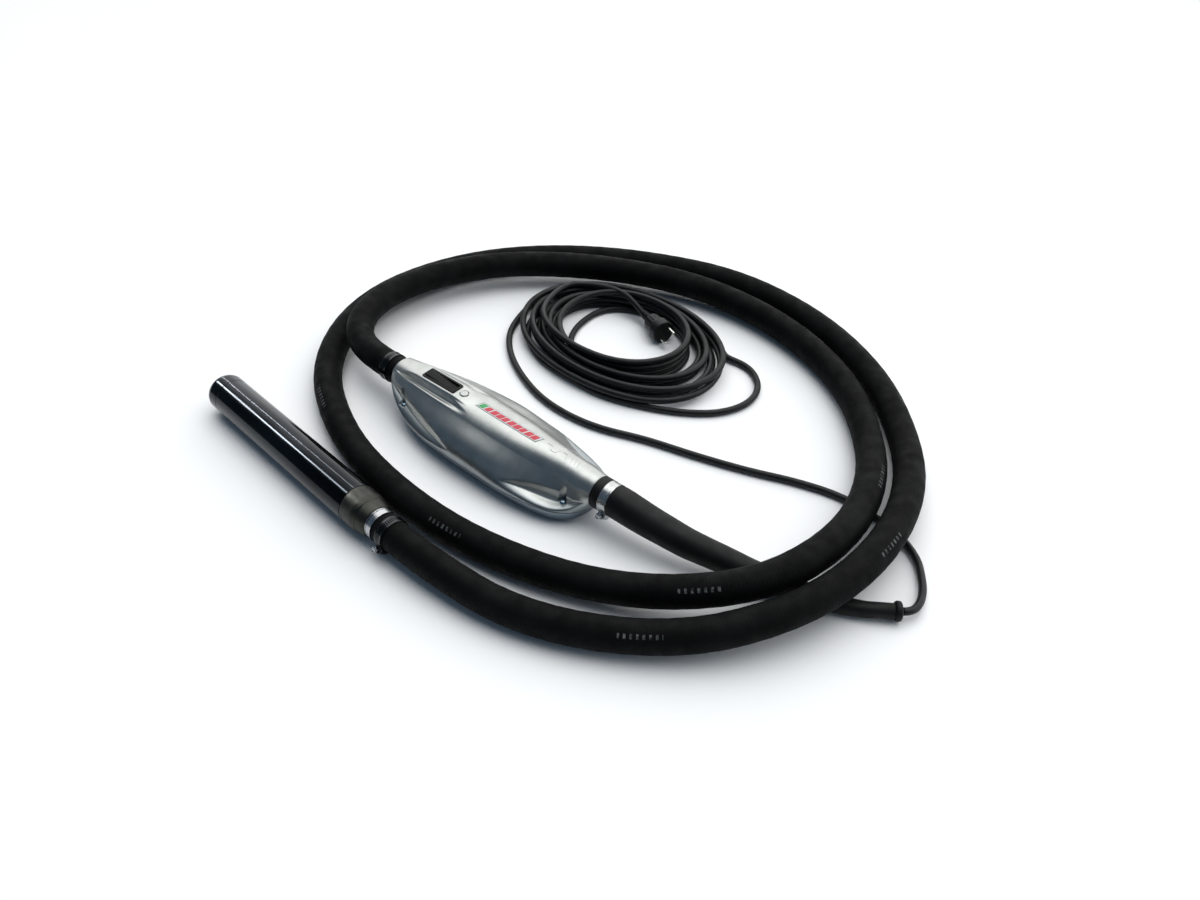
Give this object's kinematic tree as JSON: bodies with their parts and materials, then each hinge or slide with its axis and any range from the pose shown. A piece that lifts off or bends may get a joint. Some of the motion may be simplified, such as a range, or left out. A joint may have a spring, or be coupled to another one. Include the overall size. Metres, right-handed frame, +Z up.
{
  "type": "concrete vibrator",
  "caption": "Internal concrete vibrator: steel poker head with its motor and eccentric weight, rubber hose, cast converter with a switch, handle sleeve and mains cable.",
  "frame": {"origin": "on the floor under the middle of the converter, on its flat bottom face", "axes": "+X along the converter from the hose neck to the mains neck, +Z up"},
  "size_m": [0.9577, 0.7769, 0.0793],
  "materials": {
    "black_rubber": "matt",
    "cable_rubber": "matt",
    "cast_aluminium": "satin cast",
    "ground_steel": "ground",
    "turned_steel": "turned",
    "zinc_steel": "zinc plated",
    "bearing_steel": "polished",
    "cage_brass": "machined",
    "cast_iron": "as cast",
    "core_steel": "laminated",
    "copper_winding": "varnished",
    "black_plastic": "satin",
    "plug_rubber": "matt",
    "pin_brass": "nickel plated",
    "seal_rubber": "matt",
    "label": "printed",
    "board": "lacquered",
    "grey_plastic": "moulded",
    "heat_pad": "soft",
    "white_plastic": "moulded"
  },
  "bodies": {
    "frame": {"nose_cap": "ground_steel", "head_tube": "ground_steel", "head_adaptor": "ground_steel", "hose_nipple_head": "turned_steel", "nose_seal": "seal_rubber", "adaptor_seal": "seal_rubber", "front_bearing_outer_ring": "bearing_steel", "rear_bearing_outer_ring": "bearing_steel", "stator_core": "core_steel", "stator_windings": "copper_winding", "thermal_protector": "black_plastic", "lead_plate": "white_plastic", "main_hose": "black_rubber", "hose_lead": "cable_rubber", "clamp_band_head": "zinc_steel", "clamp_band_front": "zinc_steel", "clamp_band_rear": "zinc_steel", "clamp_housing_head": "zinc_steel", "clamp_housing_front": "zinc_steel", "clamp_housing_rear": "zinc_steel", "clamp_screws": "zinc_steel", "shell_top": "cast_aluminium", "shell_bottom": "cast_aluminium", "shell_seal": "seal_rubber", "trim_plate": "label", "shell_screws": "turned_steel", "front_nipple": "turned_steel", "rear_nipple": "turned_steel", "nipple_seals": "seal_rubber", "switch_bezel": "black_plastic", "switch_body": "black_plastic", "rocker_pin": "turned_steel", "blanking_plug": "cast_aluminium", "circuit_board": "board", "board_posts": "turned_steel", "heat_pad": "heat_pad", "power_module": "grey_plastic", "capacitors": "grey_plastic", "choke": "copper_winding", "terminal_block": "white_plastic", "handle_sleeve": "black_rubber", "sleeve_grommet": "black_rubber", "inlet_lead": "cable_rubber", "mains_cable_run": "cable_rubber", "cable_tail": "cable_rubber", "cable_coil": "cable_rubber", "plug_body": "plug_rubber", "plug_insert": "black_plastic", "plug_pins": "pin_brass", "earth_clips": "pin_brass"},
    "rotor": {"rotor_shaft": "turned_steel", "eccentric_weight": "cast_iron", "rotor_core": "core_steel", "front_bearing_inner_ring": "bearing_steel", "rear_bearing_inner_ring": "bearing_steel"},
    "front_cage": {"front_bearing_rollers": "bearing_steel", "front_bearing_cage": "cage_brass"},
    "rear_cage": {"rear_bearing_rollers": "bearing_steel", "rear_bearing_cage": "cage_brass"},
    "rocker": {"switch_rocker": "black_plastic"}
  },
  "joints": [
    {"name": "rotor_spin", "type": "hinge", "parent": "frame", "child": "rotor", "pos_m": [-0.19135, -0.18236, 0.0265], "axis": [0.9969, -0.0785, 0], "continuous": true},
    {"name": "front_cage_spin", "type": "hinge", "parent": "frame", "child": "front_cage", "pos_m": [-0.304, -0.1735, 0.0265], "axis": [0.9969, -0.0785, 0], "continuous": true},
    {"name": "rear_cage_spin", "type": "hinge", "parent": "frame", "child": "rear_cage", "pos_m": [-0.0787, -0.19123, 0.0265], "axis": [0.9969, -0.0785, 0], "continuous": true},
    {"name": "rocker_tilt", "type": "hinge", "parent": "frame", "child": "rocker", "pos_m": [-0.085, 0, 0.0745], "axis": [0, 1, 0], "range_deg": [-10, 0]}
  ],
  "couplings": [
    {"joint": "front_cage_spin", "follows": "rotor_spin", "ratio": 0.4032},
    {"joint": "rear_cage_spin", "follows": "rotor_spin", "ratio": 0.4032}
  ]
}
